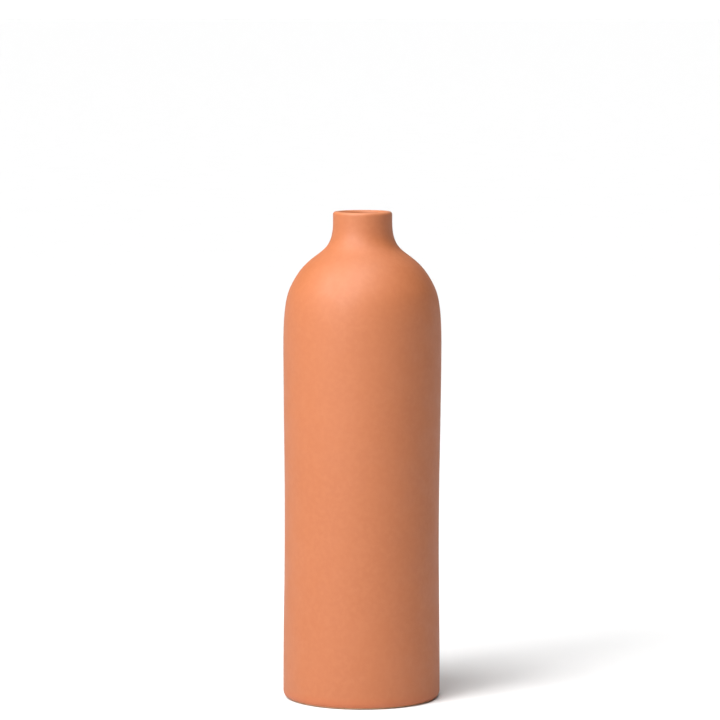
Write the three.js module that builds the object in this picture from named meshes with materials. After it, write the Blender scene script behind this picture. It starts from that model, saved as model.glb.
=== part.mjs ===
// A slim, bottle-shaped ceramic bud vase: one slip-cast clay body and the three glaze coats fired
// onto it. Millimetres, +Z up; the vase stands on z = 0 with its axis on Z.
import * as THREE from 'three';

// ---- Driving dimensions ----
const HEIGHT = 250;             // foot to rim
const BODY_RADIUS = 40.25;      // glazed wall, low down and again below the shoulder
const WAIST_DEPTH = 0.7;        // how far the wall draws in at the waist
const WAIST_HEIGHT = 90;
const WAIST_SPAN = 164;         // height over which the waist comes and goes
const FOOT_ROUND = new THREE.Vector2(2.4, 3.6);     // rounding of the bottom edge, across and up

const SHOULDER_START = 153;     // height where the wall runs into the shoulder
const SHOULDER_END = new THREE.Vector2(36.7, 211.7);
const SHOULDER_SLOPE = 64.8;    // degrees above level, where the shoulder meets the neck flare
const SHOULDER_PULL = [31.5, 10.7];                 // Bezier handle lengths, bottom and top
const NECK_RADIUS = 15.1;
const NECK_START = 244.6;       // top of the flare
const FLARE_PULL = [23.1, 19.6];

const WALL = 3.8;               // whole thickness: glaze, clay, glaze
const LIP_ROUND = 1.5;
const FLOOR = 7;                // height of the floor inside
const FLOOR_ROUND = 6;

const RECESS_DEPTH = 2;         // hollow under the base, inside the foot ring
const RECESS_RADIUS = 29.7;     // flat part of that hollow
const FOOT_INNER_RADIUS = 31.5;
const FOOT_OUTER_RADIUS = 38;   // outer edge of the flat, bare foot ring

const GLAZE = 0.35;             // thickness of each glaze coat
const GAP = 0.25;               // clearance kept between coat and clay
const SKIN = GLAZE + GAP;
const GLAZE_LINE = 0.6;         // height above the table where the outer glaze stops
const BASE_GLAZE_RADIUS = 29;

const SEGMENTS = 48;            // around the axis
const JOIN_TOLERANCE = 0.05;    // points nearer than this are one point

// ---- Outline, in the half plane x = radius, y = height ----
const point = (radius, height) => new THREE.Vector2(radius, height);
const wallRadius = (z) =>
  BODY_RADIUS - WAIST_DEPTH * Math.cos(Math.PI * (z - WAIST_HEIGHT) / WAIST_SPAN) ** 2;

// The long wall, drawn in a little at the waist.
class WaistedWall extends THREE.Curve {
  constructor(bottom, top) {
    super();
    this.bottom = bottom;
    this.top = top;
  }

  getPoint(t, target = new THREE.Vector2()) {
    const z = THREE.MathUtils.lerp(this.bottom, this.top, t);
    return target.set(wallRadius(z), z);
  }
}

// Quarter or part of an ellipse; angles in degrees, 0 pointing away from the axis.
function arc(centre, across, up, from, to) {
  const radians = [from, to].map(THREE.MathUtils.degToRad);
  return new THREE.EllipseCurve(centre.x, centre.y, across, up, ...radians, to < from);
}

// A Bezier stretch between two points that leaves and arrives along given directions.
function bend(start, startDirection, end, endDirection, [startPull, endPull]) {
  const startHandle = start.clone().addScaledVector(startDirection, startPull);
  const endHandle = end.clone().addScaledVector(endDirection, -endPull);
  return new THREE.CubicBezierCurve(start, startHandle, endHandle, end);
}

const line = (start, end) => new THREE.LineCurve(start, end);

// Points along a chain of curves, each moved `shift` to the left of the direction of travel.
function trace(chain, shift) {
  const points = [];
  for (const [curve, steps] of chain)
    for (let i = 0; i <= steps; i++) {
      const along = curve.getTangent(i / steps);
      const place = curve.getPoint(i / steps);
      points.push(point(place.x - shift * along.y, place.y + shift * along.x));
    }
  return points;
}

// ---- Stretches of the glazed outside, from the foot up and over the lip: [curve, steps] ----
const footCentre = point(wallRadius(FOOT_ROUND.y) - FOOT_ROUND.x, FOOT_ROUND.y);
const glazeLineAngle = -THREE.MathUtils.radToDeg(Math.asin(1 - GLAZE_LINE / FOOT_ROUND.y));
const foot = [arc(footCentre, FOOT_ROUND.x, FOOT_ROUND.y, glazeLineAngle, 0), 3];

const wall = (bottom, steps) => [new WaistedWall(bottom, SHOULDER_START), steps];

const outerWall = new WaistedWall(FOOT_ROUND.y, SHOULDER_START);
const shoulderSlope = THREE.MathUtils.degToRad(SHOULDER_SLOPE);
const shoulderDirection = point(-Math.cos(shoulderSlope), Math.sin(shoulderSlope));
const upward = point(0, 1);
const shoulder = [
  bend(outerWall.getPoint(1), outerWall.getTangent(1), SHOULDER_END, shoulderDirection, SHOULDER_PULL), 6,
];
const flare = [
  bend(SHOULDER_END, shoulderDirection, point(NECK_RADIUS, NECK_START), upward, FLARE_PULL), 7,
];

const lipBase = HEIGHT - LIP_ROUND;
const mouthRadius = NECK_RADIUS - WALL;
const neck = [line(point(NECK_RADIUS, NECK_START), point(NECK_RADIUS, lipBase)), 1];
const lipOutside = [arc(point(NECK_RADIUS - LIP_ROUND, lipBase), LIP_ROUND, LIP_ROUND, 0, 90), 3];
const lipInside = [arc(point(mouthRadius + LIP_ROUND, lipBase), LIP_ROUND, LIP_ROUND, 90, 180), 3];
const mouth = [line(point(mouthRadius, lipBase), point(mouthRadius, NECK_START + GAP)), 1];

// ---- Stretches of the inside, from the middle of the floor up to the neck ----
const floorCorner = wallRadius(FLOOR + FLOOR_ROUND) - WALL - FLOOR_ROUND;
const floor = [
  [line(point(0, FLOOR), point(floorCorner, FLOOR)), 1],
  [arc(point(floorCorner, FLOOR + FLOOR_ROUND), FLOOR_ROUND, FLOOR_ROUND, -90, 0), 4],
];

// The inside surface at a depth below the liner glaze: 0 is the glaze itself, SKIN is the clay.
function inside(depth) {
  const sides = [wall(FLOOR + FLOOR_ROUND, 3), shoulder, flare];
  return [...trace(floor, -depth), ...trace(sides, WALL - depth)];
}

// ---- Pieces ----
// A profile that ends on the axis or on its own start, turned about Z. Where two stretches meet,
// their shared point is kept once.
function turned(profile) {
  const points = profile.filter((p, i) => !i || p.distanceTo(profile[i - 1]) > JOIN_TOLERANCE);
  return new THREE.LatheGeometry(points, SEGMENTS).rotateX(Math.PI / 2);
}

function piece(name, geometry, color, roughness) {
  const mesh = new THREE.Mesh(geometry, new THREE.MeshStandardMaterial({ color, roughness, metalness: 0 }));
  mesh.name = name;
  return mesh;
}

// Slip-cast shell: hollow base with a foot ring, wall, shoulder, neck and lip, all in one clay.
function clayBody() {
  const base = [
    [line(point(0, RECESS_DEPTH), point(RECESS_RADIUS, RECESS_DEPTH)), 1],
    [arc(point(RECESS_RADIUS, 0), FOOT_INNER_RADIUS - RECESS_RADIUS, RECESS_DEPTH, 90, 0), 3],
    [line(point(FOOT_INNER_RADIUS, 0), point(FOOT_OUTER_RADIUS, 0)), 1],
  ];
  const outside = [foot, wall(FOOT_ROUND.y, 4), shoulder, flare, neck, lipOutside, lipInside];
  return [...trace(base, 0), ...trace(outside, SKIN), ...inside(SKIN).reverse()];
}

// Matte glaze over the whole outside, over the lip and just into the mouth.
function outerGlaze() {
  const coat = [foot, wall(FOOT_ROUND.y, 4), shoulder, flare, neck, lipOutside, lipInside, mouth];
  const face = trace(coat, 0);
  return [...face, ...trace(coat, GLAZE).reverse(), face[0].clone()];
}

// Gloss glaze that makes the inside watertight, from the floor up to the neck.
function linerGlaze() {
  return [...inside(GLAZE), ...inside(0).reverse()];
}

// Glaze in the hollow under the base; the foot ring around it is wiped bare.
function baseGlaze() {
  const top = RECESS_DEPTH - GAP;
  const bottom = top - GLAZE;
  return [
    point(0, bottom), point(BASE_GLAZE_RADIUS, bottom), point(BASE_GLAZE_RADIUS, top), point(0, top),
  ];
}

const vase = new THREE.Group();
vase.add(
  piece('clay_body', turned(clayBody()), 0xcca887, 0.9),
  piece('outer_glaze', turned(outerGlaze()), 0xdc8860, 0.55),
  piece('liner_glaze', turned(linerGlaze()), 0xe6d2bb, 0.15),
  piece('base_glaze', turned(baseGlaze()), 0xdc8860, 0.5),
);

export default vase;
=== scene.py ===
"""Ceramic bud vase: the fine surfaces, glazes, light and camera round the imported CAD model.

Metres, +Z up, the same frame as the CAD. Every piece is turned about Z from an outline in the
half plane (radius, height), and stands for one CAD node.
"""

import math

import bmesh
import bpy
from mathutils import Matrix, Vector, noise


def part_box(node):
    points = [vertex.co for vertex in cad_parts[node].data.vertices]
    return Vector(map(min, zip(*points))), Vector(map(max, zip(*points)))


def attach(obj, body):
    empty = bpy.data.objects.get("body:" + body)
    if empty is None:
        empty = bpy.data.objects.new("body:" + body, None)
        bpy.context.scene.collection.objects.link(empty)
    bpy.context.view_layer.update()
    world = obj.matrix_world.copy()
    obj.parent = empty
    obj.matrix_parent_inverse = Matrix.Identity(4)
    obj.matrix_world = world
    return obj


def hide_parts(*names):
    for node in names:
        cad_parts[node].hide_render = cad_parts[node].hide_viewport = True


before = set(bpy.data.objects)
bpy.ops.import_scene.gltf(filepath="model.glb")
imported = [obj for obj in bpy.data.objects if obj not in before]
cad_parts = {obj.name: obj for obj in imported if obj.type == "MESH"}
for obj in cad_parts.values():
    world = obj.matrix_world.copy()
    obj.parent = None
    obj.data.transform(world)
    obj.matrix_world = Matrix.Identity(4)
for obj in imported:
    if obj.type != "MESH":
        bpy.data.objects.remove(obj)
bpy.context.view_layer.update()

MM = 0.001

# ---- Sizes taken from the CAD nodes ----
coat_low, coat_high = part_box("outer_glaze")
liner_low, liner_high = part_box("liner_glaze")
base_low, base_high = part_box("base_glaze")

HEIGHT = coat_high.z
GLAZE_LINE = coat_low.z
GLAZE = base_high.z - base_low.z
FLOOR = liner_low.z + GLAZE
LINER_TOP = liner_high.z

# ---- Shape of the ware, the same curves as the CAD ----
BODY_RADIUS = 40.25 * MM
WAIST_DEPTH = 0.7 * MM
WAIST_HEIGHT = 90 * MM
WAIST_SPAN = 164 * MM
FOOT_ACROSS = 2.4 * MM
FOOT_UP = 3.6 * MM
SHOULDER_START = 153 * MM
SHOULDER_END = Vector((36.7 * MM, 211.7 * MM))
SHOULDER_SLOPE = math.radians(64.8)
SHOULDER_PULLS = (31.5 * MM, 10.7 * MM)
NECK_RADIUS = 15.1 * MM
FLARE_PULLS = (23.1 * MM, 19.6 * MM)
WALL = 3.8 * MM
LIP_ROUND = 1.5 * MM
FLOOR_ROUND = 6 * MM
RECESS_DEPTH = 2 * MM
RECESS_RADIUS = 29.7 * MM
FOOT_INNER_RADIUS = 31.5 * MM
FOOT_OUTER_RADIUS = 38.0 * MM
FOOT_EDGE_ROUND = 0.4 * MM

# ---- How the real ware departs from a perfect turning ----
LEAN = 0.28 * MM            # how far the foot and the mouth lie off the axis, each to its side
OUT_OF_ROUND = 0.06 * MM    # added to the widest radius and taken off the narrowest
RIPPLE = 0.05 * MM          # height of slow swells in the wall
RIPPLE_SIZE = 34 * MM
EDGE_WAVE = 0.16 * MM       # waviness of a wiped glaze edge
EDGE_WAVE_SIZE = 9 * MM
BEAD = 0.5 * MM             # width over which a glaze coat rounds off at its edge
SINK = 0.05 * MM            # how far a coat's back lies inside the clay, so no gap shows
OVERLAP = 1.8 * MM          # how far the liner runs up under the outer glaze
UNDERLAP = 0.05 * MM        # how much lower the liner lies there

COLUMNS = 192               # around the axis
BEAD_DEGREES = 14           # stretch of the foot's rounding that is sampled finely, for its bead
COVE_DEGREES = 75           # the cove round the hollow, down to the rounding of the foot ring
BASE_GLAZE_REACH = 45       # degrees of that cove that the base glaze runs down
FOOT_RISE = 0.5 * MM        # how gently the foot ring turns up towards the glaze line
OVAL_TURN = 0.7             # radians: which way the out-of-round ware is widest
AXIS = 1e-6                 # a radius under this is on the axis
NUDGE = 1e-4                # share of a curve used to find its direction

# ---- Colours, as linear red, green, blue ----
CORAL = (0.39, 0.117, 0.038)
CORAL_DEEP = (0.381, 0.112, 0.0355)
CORAL_PALE = (0.4, 0.123, 0.041)
# deeper, more saturated coral used towards the foot
CORAL_NEAR_FOOT = (0.42, 0.104, 0.029)
# paler lip colour: partly thin glaze at the break, partly a painted highlight where the lip faces
# up to the light
CORAL_THIN_AND_HIGHLIT = (0.48, 0.178, 0.078)
CREAM = (0.66, 0.5, 0.36)
CREAM_PALE = (0.72, 0.57, 0.43)
CREAM_GATHERED = (0.6, 0.43, 0.28)
CLAY = (0.6, 0.37, 0.22)
CLAY_DARK = (0.52, 0.31, 0.18)
GROG = (0.2, 0.11, 0.07)
PAPER = (0.765, 0.765, 0.765)
PAPER_PALE = (0.775, 0.775, 0.775)
NOISE_RANGE = (0.3, 0.7)    # where most of a noise texture's values lie
SHEEN = 0.65                # specular level of the coral glaze
SATIN = (0.59, 0.67)        # roughness of the coral glaze, least and most
GLOSS = (0.1, 0.18)         # the same for the liner
DRY = (0.82, 0.95)          # and for the bare clay

# ---- Stage ----
FAR_LIGHTS = (              # name, azimuth, elevation, strength, spread; angles in degrees
    ("key", -43, 53, 2.8, 52),
    ("top", 0, 82, 1.75, 50),
    ("back", 170, 35, 0.3, 60),
)
SOFTBOX_AZIMUTH = -41
SOFTBOX_ELEVATION = 35
SOFTBOX_WATTS = 4.5
SOFTBOX_WIDTH = 0.3         # metres
SOFTBOX_DISTANCE = 0.7      # metres from the point it is turned to
SOFTBOX_AIM = Vector((0, 0, 200 * MM))
FLOOR_HALF = 60             # half the floor's width, in metres
SWEEP_TOP = math.radians(3.5)   # elevation up to which the surroundings are white
SKY_BOTTOM = math.radians(9)    # elevation from which they are dark
SWEEP_GLOW = 1.1
SKY_GLOW = 0.005
SENSOR = 36                 # millimetres across
LENS = 182.8                # millimetres
CAMERA_PLACE = (-1.05 * MM, -1861 * MM, 358.5 * MM)
CAMERA_TILT = math.radians(5.664)


# ---- Outlines: rows of (point, outward direction), travelling with the ware on the left ----
def wall_radius(z):
    """Glazed radius of the long wall, which draws in a little at the waist."""
    return BODY_RADIUS - WAIST_DEPTH * math.cos(math.pi * (z - WAIST_HEIGHT) / WAIST_SPAN) ** 2


def straight(start, end):
    """A straight stretch."""
    return lambda t: start.lerp(end, t)


def upright(radius, start, end):
    """A straight stretch between two heights at one radius."""
    return straight(Vector((radius, start)), Vector((radius, end)))


def arc(centre, across, up, start, end):
    """Part of an ellipse; angles in degrees, 0 pointing away from the axis."""
    def curve(t):
        angle = math.radians(start + (end - start) * t)
        return centre + Vector((across * math.cos(angle), up * math.sin(angle)))
    return curve


def waisted(bottom, top):
    """The long wall between two heights."""
    def curve(t):
        z = bottom + (top - bottom) * t
        return Vector((wall_radius(z), z))
    return curve


def bend(start, start_way, end, end_way, pulls):
    """A Bezier stretch that leaves and arrives along given directions."""
    first = start + start_way * pulls[0]
    second = end - end_way * pulls[1]
    return lambda t: (
        (1 - t) ** 3 * start + 3 * (1 - t) ** 2 * t * first
        + 3 * (1 - t) * t * t * second + t ** 3 * end
    )


def rows_along(*stretches):
    """Samples (curve, steps) stretches into rows, keeping each shared end once."""
    rows = []
    for curve, steps in stretches:
        for i in range(1 if rows else 0, steps + 1):
            t = i / steps
            along = (curve(min(t + NUDGE, 1)) - curve(max(t - NUDGE, 0))).normalized()
            rows.append((curve(t), Vector((along.y, -along.x))))
    return rows


def sunk(rows, depth):
    """The rows' points, moved into the ware."""
    return [place - out * depth for place, out in rows]


def coat(rows, start_bead=True, end_bead=True, depth=0):
    """Closed profile of a glaze coat: its face, rounded off at a beaded end, then its back."""
    lengths = [0]
    for (a, _), (b, _) in zip(rows, rows[1:]):
        lengths.append(lengths[-1] + (b - a).length)
    face = []
    for (place, out), length in zip(rows, lengths):
        ends = [length] * start_bead + [lengths[-1] - length] * end_bead
        inside_edge = max(0, 1 - min(ends, default=BEAD) / BEAD)
        drop = GLAZE * (1 - math.sqrt(1 - inside_edge ** 2))
        face.append(place - out * (depth + drop))
    return face + list(reversed(sunk(rows, GLAZE + SINK)))


# ---- The glazed outside, from the foot up and over the lip ----
foot_centre = Vector((wall_radius(FOOT_UP) - FOOT_ACROSS, FOOT_UP))
glaze_line_angle = -math.degrees(math.asin(1 - GLAZE_LINE / FOOT_UP))
shoulder_way = Vector((-math.cos(SHOULDER_SLOPE), math.sin(SHOULDER_SLOPE)))
upward = Vector((0, 1))
wall_curve = waisted(FOOT_UP, SHOULDER_START)
wall_way = (wall_curve(1) - wall_curve(1 - NUDGE)).normalized()
shoulder = bend(wall_curve(1), wall_way, SHOULDER_END, shoulder_way, SHOULDER_PULLS)
flare = bend(SHOULDER_END, shoulder_way, Vector((NECK_RADIUS, LINER_TOP)), upward, FLARE_PULLS)
lip_base = HEIGHT - LIP_ROUND
lip_outer = NECK_RADIUS - LIP_ROUND
mouth_radius = NECK_RADIUS - WALL
lip_inner = mouth_radius + LIP_ROUND


def outside_rows(edge_shift=0):
    """The glazed outside; edge_shift moves the glaze line along the foot, in metres."""
    start = glaze_line_angle + math.degrees(edge_shift / FOOT_UP)
    bead_end = start + BEAD_DEGREES
    return rows_along(
        (arc(foot_centre, FOOT_ACROSS, FOOT_UP, start, bead_end), 10),
        (arc(foot_centre, FOOT_ACROSS, FOOT_UP, bead_end, 0), 10),
        (wall_curve, 30),
        (shoulder, 28),
        (flare, 28),
        (upright(NECK_RADIUS, LINER_TOP, lip_base), 4),
        (arc(Vector((lip_outer, lip_base)), LIP_ROUND, LIP_ROUND, 0, 90), 10),
        (straight(Vector((lip_outer, HEIGHT)), Vector((lip_inner, HEIGHT))), 1),
        (arc(Vector((lip_inner, lip_base)), LIP_ROUND, LIP_ROUND, 90, 180), 10),
        (upright(mouth_radius, lip_base, LINER_TOP + 2 * BEAD), 3),
        (upright(mouth_radius, LINER_TOP + 2 * BEAD, LINER_TOP), 10),
    )


# ---- The glazed inside, from the liner's top edge down to the middle of the floor ----
def facing_in(rows, shift):
    """The surface `shift` inside the given rows, seen from the hollow, travelling back down."""
    return [(place - out * shift, -out) for place, out in reversed(rows)]


def inside_rows():
    """The glazed inside; its top edge lies under the outer glaze."""
    corner_radius = wall_radius(FLOOR + FLOOR_ROUND) - WALL - FLOOR_ROUND
    corner = Vector((corner_radius, FLOOR + FLOOR_ROUND))
    sides = rows_along(
        (waisted(FLOOR + FLOOR_ROUND, SHOULDER_START), 24),
        (shoulder, 22),
        (flare, 22),
        (upright(NECK_RADIUS, LINER_TOP, LINER_TOP + OVERLAP), 8),
    )
    floor = rows_along(
        (arc(corner, FLOOR_ROUND, FLOOR_ROUND, 0, -90), 12),
        (straight(Vector((corner_radius, FLOOR)), Vector((0, FLOOR))), 10),
    )
    return facing_in(sides, WALL) + floor[1:]


# ---- The hollow under the base, from its middle outwards ----
def recess_rows(reach):
    """Clay ceiling of the hollow and `reach` degrees of the cove round it."""
    cove = FOOT_INNER_RADIUS - RECESS_RADIUS
    return rows_along(
        (straight(Vector((0, RECESS_DEPTH)), Vector((RECESS_RADIUS, RECESS_DEPTH))), 10),
        (arc(Vector((RECESS_RADIUS, 0)), cove, RECESS_DEPTH, 90, 90 - reach), 14),
    )


# ---- Outlines of the four pieces; `wave` is the glaze edge's waviness on this side ----
def clay_outline(_wave):
    """The whole cast shell, from the middle of the base round to the middle of the floor."""
    cove = sunk(recess_rows(COVE_DEGREES), 0)
    outside = sunk(outside_rows(), GLAZE)
    inner = Vector((FOOT_INNER_RADIUS + FOOT_EDGE_ROUND, 0))
    outer = Vector((FOOT_OUTER_RADIUS, 0))
    away = Vector((1, 0))
    cove_way = (cove[-1] - cove[-2]).normalized()
    rise_way = (outside[1] - outside[0]).normalized()
    ring = rows_along(
        (bend(cove[-1], cove_way, inner, away, (FOOT_EDGE_ROUND, FOOT_EDGE_ROUND)), 6),
        (straight(inner, outer), 6),
        (bend(outer, away, outside[0], rise_way, (FOOT_RISE, FOOT_RISE / 2)), 10),
    )
    return cove + sunk(ring, 0)[1:] + outside[1:] + sunk(inside_rows(), GLAZE)


def outer_glaze_outline(wave):
    """Over the whole outside and the lip, ending just inside the mouth."""
    return coat(outside_rows(wave))


def liner_outline(_wave):
    """Down the inside, from under the outer glaze to the middle of the floor."""
    return coat(inside_rows(), end_bead=False, depth=UNDERLAP)


def base_glaze_outline(wave):
    """The patch in the hollow under the base, its edge a little way down the cove."""
    reach = BASE_GLAZE_REACH + math.degrees(wave / RECESS_DEPTH)
    rows = [(place + out * GLAZE, out) for place, out in recess_rows(reach)]
    return coat(rows, start_bead=False)


# ---- Turning an outline into a piece ----
def wobble(place, angle):
    """Where a point of the perfect turning ends up on the fired ware."""
    around = Vector((math.cos(angle), math.sin(angle), 0))
    at = (around * BODY_RADIUS + Vector((0, 0, place.y))) / RIPPLE_SIZE
    swell = OUT_OF_ROUND * math.cos(2 * angle + OVAL_TURN) + RIPPLE * noise.noise(at)
    radius = place.x + swell * place.x / BODY_RADIUS
    lean = LEAN * math.sin(math.pi * (place.y / HEIGHT - 0.5))
    return around * radius + Vector((lean, 0, place.y))


def turn(name, outline):
    """A mesh object turned from outline(wave); points on the axis become one vertex each."""
    mesh = bmesh.new()
    columns = []
    poles = {}
    for column in range(COLUMNS):
        angle = math.tau * column / COLUMNS
        at = Vector((math.cos(angle), math.sin(angle), 0)) * BODY_RADIUS / EDGE_WAVE_SIZE
        profile = outline(EDGE_WAVE * noise.noise(at))
        verts = []
        for row, place in enumerate(profile):
            if place.x > AXIS:
                verts.append(mesh.verts.new(wobble(place, angle)))
            else:
                if row not in poles:
                    poles[row] = mesh.verts.new(wobble(Vector((0, place.y)), 0))
                verts.append(poles[row])
        columns.append(verts)
    for here, there in zip(columns, columns[1:] + columns[:1]):
        for row in range(len(here)):
            after = (row + 1) % len(here)
            corners = dict.fromkeys((here[row], there[row], there[after], here[after]))
            if len(corners) > 2:
                mesh.faces.new(corners).smooth = True
    data = bpy.data.meshes.new(name)
    mesh.to_mesh(data)
    mesh.free()
    piece = bpy.data.objects.new(name, data)
    bpy.context.scene.collection.objects.link(piece)
    return piece


# ---- Procedural materials ----
MIX_A, MIX_B, MIX_RESULT = 6, 7, 2      # the colour sockets of a Mix node


class Material:
    """A Principled material built up node by node, in object space so that sizes are real."""

    def __init__(self, name):
        self.material = bpy.data.materials.new(name)
        self.material.use_nodes = True
        self.nodes = self.material.node_tree.nodes
        self.links = self.material.node_tree.links
        self.shader = self.nodes["Principled BSDF"]
        self.place = self.nodes.new("ShaderNodeTexCoord").outputs["Object"]

    def set(self, **values):
        """Constant values on the shader's own sockets."""
        for name, value in values.items():
            self.shader.inputs[name.replace("_", " ")].default_value = value

    def link(self, output, socket):
        self.links.new(output, self.shader.inputs[socket])

    def noise(self, size, detail=3.0, roughness=0.5, distortion=0.0):
        """Noise whose features are about `size` metres across."""
        node = self.nodes.new("ShaderNodeTexNoise")
        self.links.new(self.place, node.inputs["Vector"])
        node.inputs["Scale"].default_value = 1 / size
        node.inputs["Detail"].default_value = detail
        node.inputs["Roughness"].default_value = roughness
        node.inputs["Distortion"].default_value = distortion
        return node.outputs["Fac"]

    def height(self):
        """Height above the table, in metres."""
        node = self.nodes.new("ShaderNodeSeparateXYZ")
        self.links.new(self.place, node.inputs[0])
        return node.outputs["Z"]

    def spread(self, value, low, high, to_low=0.0, to_high=1.0):
        """Maps low..high smoothly to to_low..to_high and holds it there outside."""
        node = self.nodes.new("ShaderNodeMapRange")
        node.interpolation_type = "SMOOTHSTEP"
        self.links.new(value, node.inputs["Value"])
        sockets = ("From Min", "From Max", "To Min", "To Max")
        for socket, number in zip(sockets, (low, high, to_low, to_high)):
            node.inputs[socket].default_value = number
        return node.outputs["Result"]

    def blend(self, factor, low, high):
        """Mixes two colours, each a tuple or an output of another node."""
        node = self.nodes.new("ShaderNodeMix")
        node.data_type = "RGBA"
        self.links.new(factor, node.inputs["Factor"])
        for socket, colour in zip((node.inputs[MIX_A], node.inputs[MIX_B]), (low, high)):
            if isinstance(colour, tuple):
                socket.default_value = (*colour, 1)
            else:
                self.links.new(colour, socket)
        return node.outputs[MIX_RESULT]

    def bump(self, height, distance, below=None):
        """Raises the surface by up to `distance` metres; `below` is a bump under this one."""
        node = self.nodes.new("ShaderNodeBump")
        node.inputs["Distance"].default_value = distance
        self.links.new(height, node.inputs["Height"])
        if below:
            self.links.new(below, node.inputs["Normal"])
        return node.outputs["Normal"]


def coral_colour(glaze):
    """The coral glaze's colour, faintly clouded and a little mottled."""
    clouds = glaze.spread(glaze.noise(24 * MM, 2, 0.5, 0.3), *NOISE_RANGE)
    mottle = glaze.spread(glaze.noise(2.6 * MM, 3, 0.6), 0.35, 0.7)
    return glaze.blend(mottle, glaze.blend(clouds, CORAL_DEEP, CORAL), CORAL_PALE)


def satin_surface(glaze):
    """The coral glaze's satin finish: slightly uneven gloss, a soft roll and an eggshell tooth."""
    glaze.set(Specular_IOR_Level=SHEEN)
    glaze.link(glaze.spread(glaze.noise(12 * MM, 2), *NOISE_RANGE, *SATIN), "Roughness")
    roll = glaze.bump(glaze.noise(3.4 * MM, 2, 0.4), 0.02 * MM)
    glaze.link(glaze.bump(glaze.noise(0.35 * MM, 2), 0.008 * MM, roll), "Normal")


def matte_glaze():
    """Satin coral glaze outside, deeper and more saturated towards the foot, and paler on the lip,
    partly where the glaze breaks thin and partly as a painted highlight where the lip faces up to
    the light.
    """
    glaze = Material("matte_coral_glaze")
    # deeper and more saturated over the lowest few millimetres above the table
    near_foot = glaze.spread(glaze.height(), 1 * MM, 7 * MM, 0.6, 0)
    # the top millimetre is paler: partly thin glaze, partly a painted highlight of the lip facing
    # the light
    lip_thin_and_highlit = glaze.spread(glaze.height(), HEIGHT - 1.0 * MM, HEIGHT - 0.1 * MM, 0, 0.6)
    colour = glaze.blend(near_foot, coral_colour(glaze), CORAL_NEAR_FOOT)
    glaze.link(glaze.blend(lip_thin_and_highlit, colour, CORAL_THIN_AND_HIGHLIT), "Base Color")
    satin_surface(glaze)
    return glaze.material


def base_coral_glaze():
    """The same coral glaze in the hollow under the base."""
    glaze = Material("base_coral_glaze")
    glaze.link(coral_colour(glaze), "Base Color")
    satin_surface(glaze)
    return glaze.material


def gloss_liner():
    """Gloss cream glaze inside, creamier where it gathers on the floor."""
    glaze = Material("gloss_cream_liner")
    clouds = glaze.spread(glaze.noise(18 * MM, 3), *NOISE_RANGE)
    gathered = glaze.spread(glaze.height(), FLOOR, FLOOR + 2 * FLOOR_ROUND, 0.8, 0)
    cream = glaze.blend(clouds, CREAM, CREAM_PALE)
    glaze.link(glaze.blend(gathered, cream, CREAM_GATHERED), "Base Color")
    glaze.link(glaze.spread(glaze.noise(9 * MM, 2), *NOISE_RANGE, *GLOSS), "Roughness")
    glaze.link(glaze.bump(glaze.noise(5 * MM, 2), 0.03 * MM), "Normal")
    return glaze.material


def bare_clay():
    """Fired stoneware, dry and gritty, with fine dark grog."""
    clay = Material("bare_stoneware")
    tone = clay.spread(clay.noise(7 * MM, 4, 0.6), *NOISE_RANGE)
    grog = clay.spread(clay.noise(0.55 * MM, 1), 0.68, 0.74)
    clay.link(clay.blend(grog, clay.blend(tone, CLAY_DARK, CLAY), GROG), "Base Color")
    clay.link(clay.spread(clay.noise(2 * MM, 2), *NOISE_RANGE, *DRY), "Roughness")
    coarse = clay.bump(clay.noise(1.4 * MM, 3, 0.6), 0.05 * MM)
    clay.link(clay.bump(clay.noise(0.25 * MM, 2), 0.02 * MM, coarse), "Normal")
    return clay.material


# ---- The four pieces, each standing for one CAD node ----
PIECES = (
    ("clay_body_fine", "clay_body", "clay", clay_outline, bare_clay),
    ("outer_glaze_fine", "outer_glaze", "matte_glaze", outer_glaze_outline, matte_glaze),
    ("liner_glaze_fine", "liner_glaze", "liner_glaze", liner_outline, gloss_liner),
    ("base_glaze_fine", "base_glaze", "matte_glaze", base_glaze_outline, base_coral_glaze),
)


def build_vase():
    """Turns and paints each piece, hangs it on the root body and hides the CAD node it stands for.
    """
    for name, node, slot, outline, paint in PIECES:
        piece = turn(name, outline)
        piece.data.materials.append(paint())
        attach(piece, "root")
        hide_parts(node)


# ---- Stage, light and camera ----
def link_new(name, data):
    """A new object of the given data, in the scene."""
    made = bpy.data.objects.new(name, data)
    bpy.context.scene.collection.objects.link(made)
    return made


def floor():
    """A wide plain pale floor at the foot's height."""
    data = bpy.data.meshes.new("floor")
    signs = ((-1, -1), (1, -1), (1, 1), (-1, 1))
    corners = [(x * FLOOR_HALF, y * FLOOR_HALF, 0) for x, y in signs]
    data.from_pydata(corners, [], [(0, 1, 2, 3)])
    made = link_new("floor", data)
    paper = Material("white_paper")
    grain = paper.spread(paper.noise(60 * MM, 2), *NOISE_RANGE)
    paper.link(paper.blend(grain, PAPER, PAPER_PALE), "Base Color")
    paper.set(Roughness=0.95)
    made.data.materials.append(paper.material)


def direction_to(azimuth, elevation):
    """Unit vector to a light; azimuth 0 is the camera's side, positive to its right."""
    around, above = math.radians(azimuth), math.radians(elevation)
    flat = math.cos(above)
    return Vector((math.sin(around) * flat, -math.cos(around) * flat, math.sin(above)))


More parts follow.
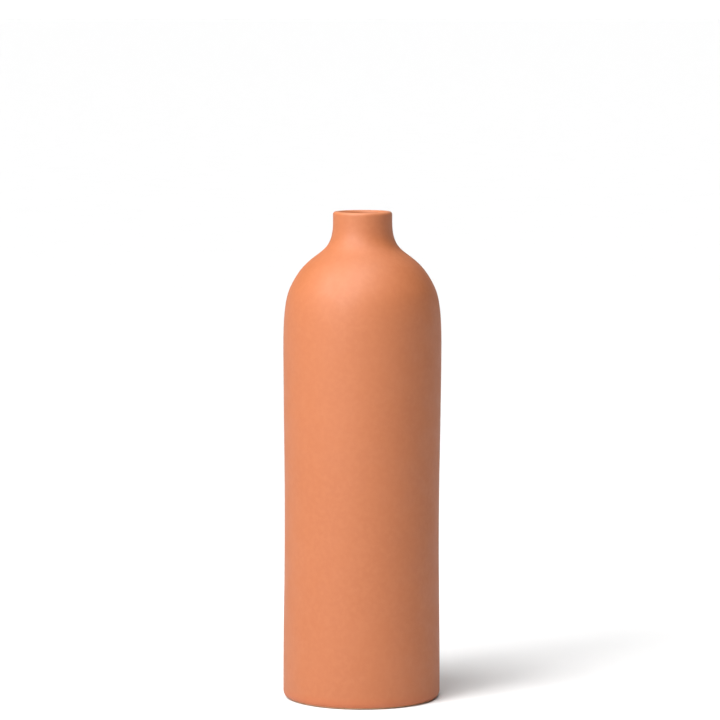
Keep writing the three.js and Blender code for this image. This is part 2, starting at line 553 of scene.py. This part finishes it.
def sun(name, azimuth, elevation, strength, spread):
    """A soft far light."""
    data = bpy.data.lights.new(name, "SUN")
    data.energy, data.angle = strength, math.radians(spread)
    towards = direction_to(azimuth, elevation)
    link_new(name, data).rotation_euler = towards.to_track_quat("Z", "Y").to_euler()


def softbox():
    """A near square light that puts the soft highlight on the shoulder and the neck."""
    data = bpy.data.lights.new("softbox", "AREA")
    data.size, data.energy = SOFTBOX_WIDTH, SOFTBOX_WATTS
    made = link_new("softbox", data)
    towards = direction_to(SOFTBOX_AZIMUTH, SOFTBOX_ELEVATION)
    made.location = SOFTBOX_AIM + towards * SOFTBOX_DISTANCE
    made.rotation_euler = towards.to_track_quat("Z", "Y").to_euler()


def sky():
    """Bright white round the horizon, like a studio sweep, and all but dark overhead."""
    world = bpy.data.worlds.new("studio")
    world.use_nodes = True
    nodes, links = world.node_tree.nodes, world.node_tree.links
    direction = nodes.new("ShaderNodeTexCoord").outputs["Generated"]
    split = nodes.new("ShaderNodeSeparateXYZ")
    fade = nodes.new("ShaderNodeMapRange")
    fade.interpolation_type = "SMOOTHSTEP"
    links.new(direction, split.inputs[0])
    links.new(split.outputs["Z"], fade.inputs["Value"])
    limits = (math.sin(SWEEP_TOP), math.sin(SKY_BOTTOM), SWEEP_GLOW, SKY_GLOW)
    for socket, number in zip(("From Min", "From Max", "To Min", "To Max"), limits):
        fade.inputs[socket].default_value = number
    links.new(fade.outputs["Result"], nodes["Background"].inputs["Strength"])
    nodes["Background"].inputs["Color"].default_value = (1, 1, 1, 1)
    bpy.context.scene.world = world


def camera():
    """A long lens in front of the vase, a little above its rim and tilted slightly down."""
    data = bpy.data.cameras.new("camera")
    data.sensor_width, data.lens = SENSOR, LENS
    data.clip_end = 2 * FLOOR_HALF
    made = link_new("camera", data)
    made.location = CAMERA_PLACE
    made.rotation_euler = (math.pi / 2 - CAMERA_TILT, 0, 0)
    bpy.context.scene.camera = made


build_vase()
floor()
for light in FAR_LIGHTS:
    sun(*light)
softbox()
sky()
camera()
bpy.context.scene.view_settings.view_transform = "Standard"
